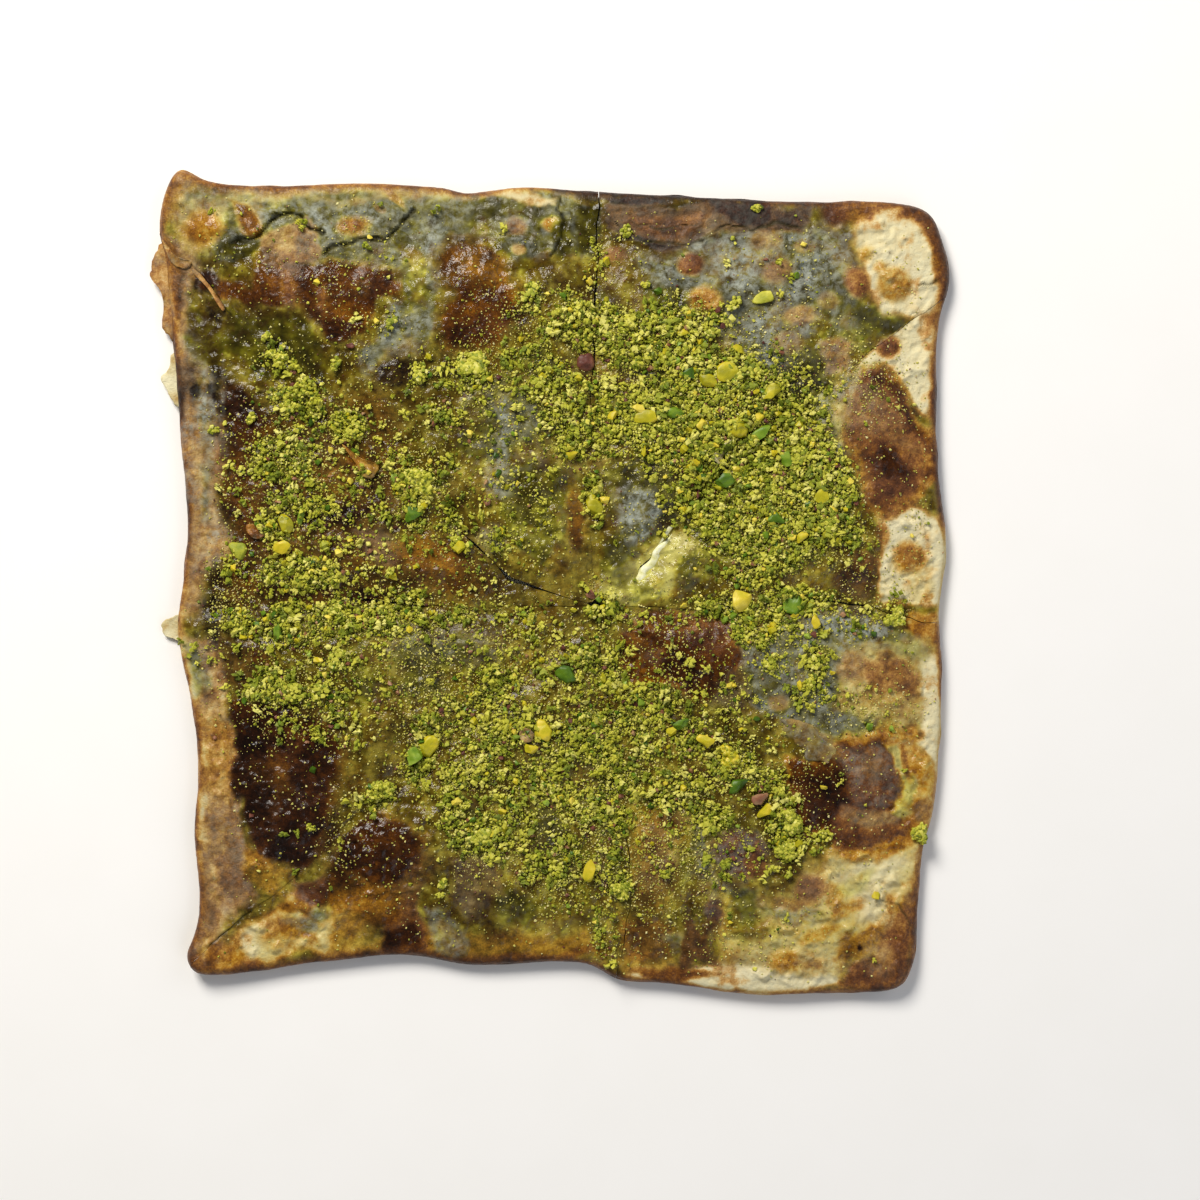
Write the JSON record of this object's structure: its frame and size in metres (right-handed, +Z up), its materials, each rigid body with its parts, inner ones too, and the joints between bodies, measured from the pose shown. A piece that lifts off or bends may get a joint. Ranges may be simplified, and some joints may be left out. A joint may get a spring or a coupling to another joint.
{
  "type": "katmer",
  "caption": "Square of folded, blistered yufka round cream and pistachio, cut in triangular slices that lie together, strewn with chopped pistachio.",
  "frame": {"origin": "middle of the bounding box, on the surface that the katmer lies on", "axes": "+Z up out of the browned top; +Y along the west and east edges towards the curled corner; +X across"},
  "size_m": [0.2972, 0.3056, 0.0141],
  "materials": {
    "baked_dough": "pan-fried yufka in butter: thin, glossy, cream to deep brown, blistered",
    "cream_filling": "clotted cream with ground pistachio, soft and slightly wet",
    "pistachio": "chopped raw pistachio, matt lime green to yellow, some dark green and purple skin"
  },
  "bodies": {
    "root": {"clump_01": "pistachio", "clump_02": "pistachio", "clump_03": "pistachio", "clump_04": "pistachio", "clump_05": "pistachio", "clump_06": "pistachio", "clump_07": "pistachio", "clump_08": "pistachio", "clump_09": "pistachio", "clump_10": "pistachio", "clump_11": "pistachio", "cream_ene": "cream_filling", "cream_ese": "cream_filling", "cream_nne": "cream_filling", "cream_nnw": "cream_filling", "cream_sse": "cream_filling", "cream_ssw": "cream_filling", "cream_wnw": "cream_filling", "cream_wsw": "cream_filling", "kernel_01": "pistachio", "kernel_02": "pistachio", "kernel_03": "pistachio", "kernel_04": "pistachio", "kernel_05": "pistachio", "kernel_06": "pistachio", "kernel_07": "pistachio", "kernel_08": "pistachio", "kernel_09": "pistachio", "kernel_10": "pistachio", "kernel_11": "pistachio", "kernel_12": "pistachio", "kernel_13": "pistachio", "kernel_14": "pistachio", "kernel_15": "pistachio", "yufka_ene": "baked_dough", "yufka_ese": "baked_dough", "yufka_nne": "baked_dough", "yufka_nnw": "baked_dough", "yufka_sse": "baked_dough", "yufka_ssw": "baked_dough", "yufka_wnw": "baked_dough", "yufka_wsw": "baked_dough"}
  },
  "joints": []
}
